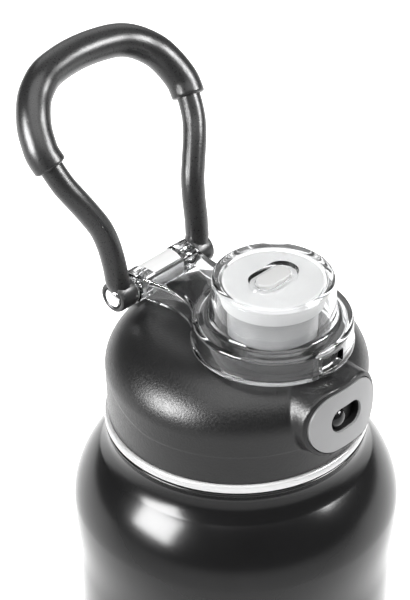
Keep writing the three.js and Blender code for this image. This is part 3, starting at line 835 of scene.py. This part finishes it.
@dataclass
class Hinge:
    """The white bracket, the pin through it and the pin's two bright heads."""

    y: float = HINGE_Y
    z: float = HINGE_Z
    half: float = 6.1
    outer: float = 18.2
    head: float = 2.88

    def build(self) -> None:
        """Builds the bracket and the pin."""
        half, outer, head = self.half, self.outer, self.head
        section = [(3.3, -half), (4.0, -half), (4.3, -half + 0.3), (4.3, half - 0.3), (4.0, half), (3.3, half)]
        bracket = Bench.turn_across("bracket_barrel", section, self.y, self.z, 96, True)
        foot = Bench.block("foot", (-4.9, self.y - 2.6, self.z - 10.05), (4.9, self.y + 1.8, self.z - 3.75))
        Bench.combine(bracket, [foot], "UNION")
        Bench.finish(bracket, WHITE_PLASTIC, "lid", ["hinge_bracket"], 35)
        dome = ((0, 0.6), (1.1, 0.55), (2.0, 0.4), (2.6, 0.12))
        section = [(r, -outer - out) for r, out in dome]
        section += [(head, -outer + 0.25), (head, -outer + 0.8), (1.6, -outer + 0.8)]
        section += [(1.6, outer - 1.1), (0, outer - 1.1)]
        pin = Bench.turn_across("pin_with_head", section, self.y, self.z)
        Bench.finish(pin, POLISHED_STEEL, "lid", ["hinge_pin"], 40)
        section = [(r, outer + out + 0.05) for r, out in dome]
        section += [(head, outer - 0.15), (head, outer - 0.7), (0, outer - 0.7)]
        cap = Bench.turn_across("pin_cap_domed", section, self.y, self.z)
        Bench.finish(cap, POLISHED_STEEL, "lid", ["pin_cap"], 40)


# ---- flip cover ---------------------------------------------------------------------------
@dataclass
class FlipCover:
    """The clear cover over the spout, its hinge arm and the stopper inside it."""

    y: float = COVER_Y
    radius: float = 22.05
    flank: float = 0.74
    tower: float = 16.6
    base: float = 237.0
    shoulder: float = 244.8
    arm_top: float = 243.6
    top: float = 257.4
    wall: float = 1.8
    hinge_y: float = HINGE_Y
    hinge_z: float = HINGE_Z
    knuckle: float = 4.65
    knuckle_from: float = 6.4
    knuckle_to: float = 11.8
    spout_top: float = SPOUT_TOP

    def build(self) -> None:
        """Builds the cover and the stopper."""
        self._cover()
        self._stopper()

    def _arm_plan(self, wall: float) -> list[Point]:
        """Outline of the hinge arm, which flows from the round part to the knuckles.

        Args:
            wall: How far the outline is moved in.

        Returns:
            The outline's points.
        """
        wide, waist = self.knuckle_to - wall, self.knuckle_to - 2.5 - wall
        flank = self.radius * self.flank - wall
        join = self.y + math.sqrt(self.radius ** 2 - (self.radius * self.flank) ** 2) - 0.4
        bend = self.y + self.radius + 5.5
        a, b, c = (flank, join), (waist + 0.1, self.y + self.radius - 2.6), (waist, bend)
        right = [(flank, self.y), a]
        for i in range(1, 17):
            t = i / 16
            right.append(tuple((1 - t) ** 2 * p + 2 * t * (1 - t) * q + t * t * s for p, q, s in zip(a, b, c)))
        for i in range(1, 9):
            t = i / 8
            right.append((waist + (wide - waist) * t ** 1.7, bend + (self.hinge_y - 3 * wall - bend) * t))
        return right + [(-x, y) for x, y in reversed(right)]

    def _round(self, name: str, wall: float) -> Object:
        """Turns the round part: skirt, shoulder and tower, moved in by a wall."""
        skirt, tower = self.radius - wall, self.tower - wall
        top, step = self.top - wall, self.shoulder - wall
        base, edge = (self.base, 1.1) if wall == 0 else (self.base - 2, 0.6)
        section = [(0, base), (skirt, base), (skirt - 0.2, step - edge)]
        section += Form.arc((skirt - 0.2 - edge, step - edge), edge, 8, 84, 8)
        for t in (0, 0.3, 0.6, 0.9, 1.2, 1.45):
            section.append((tower + 2.4 - 1.5 * math.sin(t), step + 0.25 + 1.9 * (1 - math.cos(t))))
        section += [(tower + 0.6, step + 4.5), (tower + 0.05, top - 1.4)]
        section += Form.arc((tower - 1.05, top - 1.0), 1.0, 5, 88, 8)
        section += [(0, top)]
        return Bench.turn(name, section, (0, self.y), 160)

    def _arm(self, name: str, wall: float) -> Object:
        """Pulls the hinge arm up from its outline and rounds its upper edge."""
        low, edge = (self.base, 0.9) if wall == 0 else (self.base - 2, 0.5)
        high = self.arm_top - wall
        outline = [Vector((x, y, low)) for x, y in self._arm_plan(wall)]
        piece = Bench.prism(name, outline, Vector((0, 0, high - low)))
        return Bench.round_edges(piece, edge, 4, 40, lambda m: abs(m.z - high) < 0.01)

    def _top_stadium(self, name: str, size: Point, low: float, high: float, flare: float = 0) -> Object:
        """Pulls a stadium up through the top of the cover, wider at its upper end by the flare."""
        outline = [Vector((x, self.y + y, low)) for x, y in Form.stadium(*size, 20)]
        grow = (1 + 2 * flare / size[0], 1 + 2 * flare / size[1], 1)
        return Bench.flared(name, outline, (0, 0, high - low), grow, (0, self.y, high))

    def _cover(self) -> None:
        """Joins round part, arm, lip and knuckles, and hollows them out."""
        cover = self._round("cover_clear", 0)
        base, radius, front = self.base, self.radius, self.y - self.radius
        section = [(0, base), (radius + 0.2, base), (radius + 0.25, base + 0.5)]
        section += [(radius, base + 1.1), (0, base + 1.1)]
        lip = Bench.turn("lip", section, (0, self.y), 160)
        Bench.combine(cover, [self._arm("arm", 0), lip], "UNION")
        hollow = self._round("hollow", self.wall)
        Bench.combine(hollow, [self._arm("arm_hollow", self.wall)], "UNION")
        Bench.combine(cover, [hollow], "DIFFERENCE")
        r, near, far = self.knuckle, self.knuckle_from, self.knuckle_to
        section = [(0, near), (r - 0.4, near), (r, near + 0.4), (r, far - 0.4), (r - 0.4, far), (0, far)]
        for side in (-1, 1):
            ear = Bench.turn_across("ear", [(q, side * x) for q, x in section], self.hinge_y, self.hinge_z, 72)
            Bench.combine(cover, [ear], "UNION")
        low, high = (-near, self.hinge_y - 4.9, base - 2), (near, self.hinge_y + 5.7, self.arm_top + 1)
        room = Bench.block("room", low, high)
        window = Bench.block("window", (-4.2, front - 3, base + 1.3), (4.2, front + 3.8, base + 5.4))
        Bench.round_edges(window, 0.6, 3)
        slot = self._top_stadium("slot", (11.8, 6.2), self.top - 5, self.top + 1)
        recess = self._top_stadium("recess", (14.9, 8.2), self.top - self.wall + 0.7, self.top + 0.5, 0.6)
        section = [(0, -20), (1.9, -20), (1.9, 20), (0, 20)]
        bore = Bench.turn_across("bore", section, self.hinge_y, self.hinge_z, 48)
        Bench.combine(cover, [room, window, slot, recess, bore], "DIFFERENCE")
        Bench.finish(cover, SMOKED_CLEAR, "cover", ["flip_cover"], 32)

    def _stopper(self) -> None:
        """Turns the soft stopper and pulls its tab up through the cover."""
        low, high = self.spout_top + 0.4, self.spout_top + 5.1
        section = [(0, low - 2.4), (7.8, low - 2.4), *Form.arc((7.8, low - 1.6), 0.8, -60, 0, 4), (8.6, low)]
        section += [(13.4, low), *Form.arc((13.4, low + 0.4), 0.4, -60, 0, 3)]
        section += [*Form.arc((13.1, high - 0.7), 0.7, 0, 90, 6), (0, high)]
        stopper = Bench.turn("stopper_soft", section, (0, self.y), 128)
        tab = self._top_stadium("tab", (11.2, 5.6), high - 1, self.top - 0.2)
        Bench.round_edges(tab, 0.45, 4, 50, lambda m: m.z > self.top - 1)
        Bench.combine(stopper, [tab], "UNION")
        Bench.finish(stopper, SILICONE, "cover", ["stopper"], 40)


# ---- latch button -------------------------------------------------------------------------
class Side(Enum):
    """The left and the right of the bottle, seen from the button."""

    LEFT = -1
    RIGHT = 1


@dataclass
class Latch:
    """The release button with its slot and return springs, and the lock knob that slides in it."""

    lid: Lid
    thickness: float = 2.4
    knob: float = 2.9
    knob_x: float = -2.4
    plate: float = 37.7
    face: Point = (26.0, 17.1)
    slot: Point = (11.8, 7.2)
    spring_x: float = 10.9
    spring_front: float = -35.1
    spring_back: float = -34.2
    coil: float = 1.3
    wire: float = 0.2

    def build(self) -> None:
        """Builds the button, the painted shade sleeve in its slot, the knob and the springs."""
        lid = self.lid
        button = lid.front("button_face", *self.face, 25.0)
        Bench.combine(button, [lid.drum(lid.face)], "INTERSECT")
        Bench.combine(button, [lid.drum(lid.face - self.thickness)], "DIFFERENCE")
        Bench.combine(button, [lid.front("slot", *self.slot, 20.0)], "DIFFERENCE")
        Bench.round_edges(button, 0.55, 4, 50, lambda m: math.hypot(m.x, m.y) > lid.face - 1.6)
        Bench.finish(button, GREY_PLASTIC, "button", ["release_button"], 38)
        # Painted shade on the inner walls of the slot.
        self._shade_slot()
        self._knob()
        for side in Side:
            self._spring(side)

    def _shade_slot(self) -> None:
        """Sets a thin, nearly black sleeve into the slot, a little behind the button's face, as painted shade
        on the slot's inner walls.
        """
        lid, (length, height) = self.lid, self.slot
        lining = lid.front("slot_painted_shade", length - 0.04, height - 0.04, 22.0)
        Bench.combine(lining, [lid.drum(lid.face - 0.75)], "INTERSECT")
        bore = lid.front("bore", length - 0.7, height - 0.7, 20.0)
        Bench.combine(lining, [lid.drum(lid.face - self.thickness), bore], "DIFFERENCE")
        Bench.finish(lining, SLOT_PAINTED_SHADE, "button", [], 38)

    def _spring(self, side: Side) -> None:
        """Winds one return spring, which is pressed flat between the button and the lid.

        Args:
            side: Which end of the button it stands at.
        """
        node = f"button_spring_{side.name.lower()}"
        x, z, coils, steps = side.value * self.spring_x, self.lid.button_z, 2, 64
        front, back, route = self.spring_front, self.spring_back, []
        for i in range(steps + 1):
            turn = 2 * math.pi * coils * i / steps
            along = front + (back - front) * (i / steps)
            route.append(Vector((x + self.coil * math.cos(turn), along, z + self.coil * math.sin(turn))))
        spring = Bench.tube(f"{node}_wire", route, [self.wire] * len(route), 10)
        Bench.finish(spring, STEEL, "lid", [node], 40)
        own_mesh(spring)

    def _knob(self) -> None:
        """Turns the domed knob and lays it over to face forward."""
        r, rise, dome = self.knob, 0.5, 2.0
        section = [(0, 0), (r, 0), (r, rise)]
        for i in range(1, 10):
            t = i * math.pi / 2 / 10
            section.append((r * math.cos(t), rise + dome * math.sin(t)))
        knob = Bench.turn("lock_knob_domed", [*section, (0, rise + dome)], (0, 0), 64)
        Bench.pick(knob)
        place = Vector((self.knob_x, -self.plate - 0.3, self.lid.button_z)) * MM
        knob.matrix_world = Matrix.Translation(place) @ Matrix.Rotation(math.pi / 2, 4, "X")
        Bench.finish(knob, GLOSSY_BLACK, "lock", ["lock_knob"], 50)


# ---- carrying bow -------------------------------------------------------------------------
@dataclass
class Bow:
    """The bow that the bottle is carried by: two eyes, two legs and a thick grip."""

    hinge_y: float = HINGE_Y
    hinge_z: float = HINGE_Z
    eye_x: float = 15.15
    eye: float = 4.45
    half: float = 27.05
    sweep: float = 30.6
    height: float = 57.9
    leg: float = 3.35
    grip: float = 4.75
    grip_start: float = 0.244
    steps: int = 400

    def line(self) -> list[Vector]:
        """Middle line of the bow from the left eye over the top to the right eye.

        Returns:
            Even points, in millimetres.
        """
        # Each knot's way out, back and up, as shares of the reach, the sweep and the height.
        shares = [
            (0.02, 0.01, 0.08), (0.05, 0.035, 0.173), (0.1, 0.08, 0.273), (0.205, 0.13, 0.36),
            (0.405, 0.19, 0.444), (0.64, 0.26, 0.53), (0.83, 0.34, 0.605), (0.95, 0.445, 0.69),
            (1, 0.535, 0.75), (0.96, 0.595, 0.79), (0.865, 0.675, 0.84), (0.705, 0.75, 0.89),
            (0.445, 0.835, 0.935), (0.13, 0.895, 0.97), (-0.215, 0.945, 0.988), (-0.8, 0.985, 0.998),
        ]
        root = self.eye_x + 0.5
        reach = self.half - self.eye_x - 0.5

        def flank(side: int) -> list[Vector]:
            """Knots of one side of the bow."""
            return [
                Vector((side * (root + reach * out), self.hinge_y + self.sweep * back,
                        self.hinge_z + self.height * up))
                for out, back, up in shares
            ]

        top = Vector((0, self.hinge_y + self.sweep, self.hinge_z + self.height))
        return Form.smooth_line([*flank(-1), top, *reversed(flank(1))], self.steps)

    def build(self) -> None:
        """Builds the eyes, the legs and the grip."""
        line = self.line()
        for side in Side:
            self._eye(side, line)
            self._leg(side, line)
        self._grip(line)

    def _stretch(self, line: list[Vector], start: float, end: float) -> list[Vector]:
        """Points of the line between two shares of its length, both ends exact."""
        last = self.steps
        inner = [line[i] for i in range(last + 1) if start * last < i < end * last]

        def at(share: float) -> Vector:
            """Point at a share of the length."""
            i = min(int(share * last), last - 1)
            return line[i].lerp(line[i + 1], share * last - i)

        return [at(start), *inner, at(end)]

    def _root_line(self, side: Side, line: list[Vector]) -> list[Vector]:
        """Points from inside the eye up to the foot of its leg."""
        first = line[0] if side is Side.LEFT else line[-1]
        foot = Vector((side.value * self.eye_x, self.hinge_y, self.hinge_z + 2.4))
        return [foot.lerp(first, i / 8) for i in range(9)]

    def _eye(self, side: Side, line: list[Vector]) -> None:
        """Turns one eye and joins it to the foot of its leg."""
        s, name = side.value, side.name.lower()
        r, outer = self.eye, 17.3 if side is Side.LEFT else 17.2
        section = [(1.9, 12.1), (r - 0.6, 12.1), (r - 0.18, 12.28), (r, 12.7), (r, 17.5), (r - 0.18, 18.02)]
        section += [(r - 0.6, 18.2), (3.5, 18.2), (3.2, 17.95), (3.2, outer), (1.9, outer)]
        points = [(q, s * x) for q, x in section]
        eye = Bench.turn_across(f"{name}_eye_round", points, self.hinge_y, self.hinge_z, 96, True)
        root = Bench.tube("root", self._root_line(side, line), [self.leg - 0.15] * 9, 12)
        Bench.combine(eye, [root], "UNION", "EXACT")
        Bench.finish(eye, EYE_BLACK, "bow", [f"{name}_eye"], 40)

    def _leg(self, side: Side, line: list[Vector]) -> None:
        """Sweeps one leg's sleeve."""
        name = side.name.lower()
        span = (0.0005, self.grip_start) if side is Side.LEFT else (1 - self.grip_start, 0.9995)
        root = self._root_line(side, line)[2:7]
        route = self._stretch(line, *span)
        route = [*root, *route] if side is Side.LEFT else [*route, *reversed(root)]
        leg = Bench.tube(f"{name}_leg_rubber", route, [self.leg] * len(route), 14)
        Bench.finish(leg, RUBBER, "bow", [f"{name}_leg_sleeve"], 50)

    def _grip(self, line: list[Vector]) -> None:
        """Sweeps the grip with its rolled ends."""
        route = self._stretch(line, self.grip_start - 0.001, 1 - self.grip_start + 0.001)
        step = sum((b - a).length for a, b in zip(line, line[1:])) / self.steps
        roll, last, radii = 0.8, len(route) - 1, []
        for i in range(last + 1):
            run = min(min(i, last - i) * step, roll)
            radii.append(self.grip - roll + math.sqrt(roll ** 2 - (roll - run) ** 2))
        grip = Bench.tube("grip_rubber", route, radii, 18)
        Bench.finish(grip, RUBBER, "bow", ["grip_sleeve"], 60)


# ---- carried-over solids ------------------------------------------------------------------
def dress_frame(nodes: dict[str, Object], finishes: dict[str, Finish]) -> None:
    """Gives the solids of the frame that stay in view their finishes.

    Args:
        nodes: The frame's solids by name.
        finishes: Finish for each solid.
    """
    for name, finish in finishes.items():
        nodes[name].data.materials.clear()
        nodes[name].data.materials.append(finish.material())
        LOG.info("%s dressed in %s", name, finish.slot)


# ---- studio -------------------------------------------------------------------------------
class Reach(Enum):
    """Which part of a light's work a softbox does."""

    GLOSS = "reflections"
    BOTH = "reflections and body light"


@dataclass
class Studio:
    """Pale floor, soft lights and the camera."""

    lens: float = 147.47
    place: tuple[float, float, float] = (-0.4037, -0.3736, 0.6233)
    turn: tuple[float, float, float] = (55.352, 0.05, -46.334)

    def build(self) -> None:
        """Sets up floor, surround, lights and camera."""
        self._floor()
        self._surround()
        self._softbox("key", (-0.68, 0.2, 0.5), (-0.03, 0, 0.2), 0.4, 0.34, 16.5, Reach.GLOSS)
        self._softbox("side", (0.36, -0.45, 0.6), (0, 0.05, 0.26), 0.3, 0.22, 7.5, Reach.GLOSS)
        self._softbox("back", (0.6, 0.57, 0.8), (0, 0, 0.24), 0.9, 0.6, 2.2, Reach.GLOSS)
        self._softbox("canopy", (-0.2, -0.3, 1.5), (0, 0, 0.2), 1.4, 1.4, 20, Reach.BOTH)
        self._camera()
        bpy.context.scene.view_settings.view_transform = "Standard"

    def _floor(self) -> None:
        """Lays the floor, which glows a little more towards one side so that it stays evenly pale."""
        Bench.clear()
        bpy.ops.mesh.primitive_plane_add(size=6)
        floor = bpy.context.object
        floor.name = "studio_floor"
        bpy.ops.object.mode_set(mode="EDIT")
        bpy.ops.mesh.subdivide(number_cuts=3)
        bpy.ops.object.mode_set(mode="OBJECT")
        paper = bpy.data.materials.new("studio_paper")
        paper.use_nodes = True
        tree = paper.node_tree
        shader = tree.nodes["Principled BSDF"]
        for socket, value in (("Base Color", (0.93, 0.93, 0.93, 1)), ("Roughness", 0.9),
                              ("Specular IOR Level", 0.1), ("Emission Color", (1, 1, 1, 1))):
            shader.inputs[socket].default_value = value
        place = tree.nodes.new("ShaderNodeTexCoord")
        swing = tree.nodes.new("ShaderNodeMapping")
        swing.inputs["Rotation"].default_value = (0, 0, math.radians(-44))
        parts = tree.nodes.new("ShaderNodeSeparateXYZ")
        tree.links.new(place.outputs["Object"], swing.inputs["Vector"])
        tree.links.new(swing.outputs["Vector"], parts.inputs["Vector"])
        glow = map_range(tree, parts.outputs["X"], (-0.3, 0.15), (0.55, 1.5))
        tree.links.new(glow, shader.inputs["Emission Strength"])
        floor.data.materials.append(paper)

    def _surround(self) -> None:
        """Fills the room with even white light."""
        world = bpy.data.worlds.new("studio_surround")
        bpy.context.scene.world = world
        world.use_nodes = True
        background = world.node_tree.nodes["Background"]
        background.inputs["Color"].default_value = (1, 1, 1, 1)
        background.inputs["Strength"].default_value = 0.13

    def _softbox(
        self, name: str, place: Sequence[float], target: Sequence[float], width: float, height: float,
        power: float, reach: Reach,
    ) -> None:
        """Hangs one rectangular softbox.

        Args:
            name: Name of the light.
            place: Where it hangs, in metres.
            target: What it faces.
            width: Its width.
            height: Its height.
            power: Its power in watts.
            reach: Whether it only shows in reflections, or lights the surfaces as well.
        """
        Bench.clear()
        bpy.ops.object.light_add(type="AREA", location=place)
        light = bpy.context.object
        light.name = name
        light.data.shape = "RECTANGLE"
        light.data.size, light.data.size_y = width, height
        light.data.energy = power
        light.visible_diffuse = reach is not Reach.GLOSS
        light.visible_camera = False
        away = Vector(target) - Vector(place)
        light.rotation_euler = away.to_track_quat("-Z", "Y").to_euler()

    def _camera(self) -> None:
        """Places the camera."""
        Bench.clear()
        bpy.ops.object.camera_add(location=self.place, rotation=[math.radians(a) for a in self.turn])
        camera = bpy.context.object
        camera.data.lens = self.lens
        camera.data.sensor_fit = "VERTICAL"
        camera.data.sensor_height = 36
        bpy.context.scene.camera = camera


def main() -> None:
    """Loads the frame and builds the pieces in order."""
    logging.basicConfig(level=logging.INFO, format="%(name)s: %(message)s")
    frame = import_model()
    Studio().build()
    Flask().build()
    lid = Lid()
    lid.build()
    Hinge().build()
    FlipCover().build()
    Latch(lid).build()
    Bow().build()
    # The latch hook wears the slot's painted shade, darker than plain black plastic.
    dress_frame(frame["nodes"], {
        "inner_flask": STEEL, "vacuum_seal": STEEL, "cap_liner": BLACK_PLASTIC, "lid_seal": SILICONE,
        "spout_gasket": SILICONE, "torsion_spring": STEEL, "latch_hook": SLOT_PAINTED_SHADE, "bow_core": STEEL,
    })
    Bench.clear()


if __name__ == "__main__":
    main()
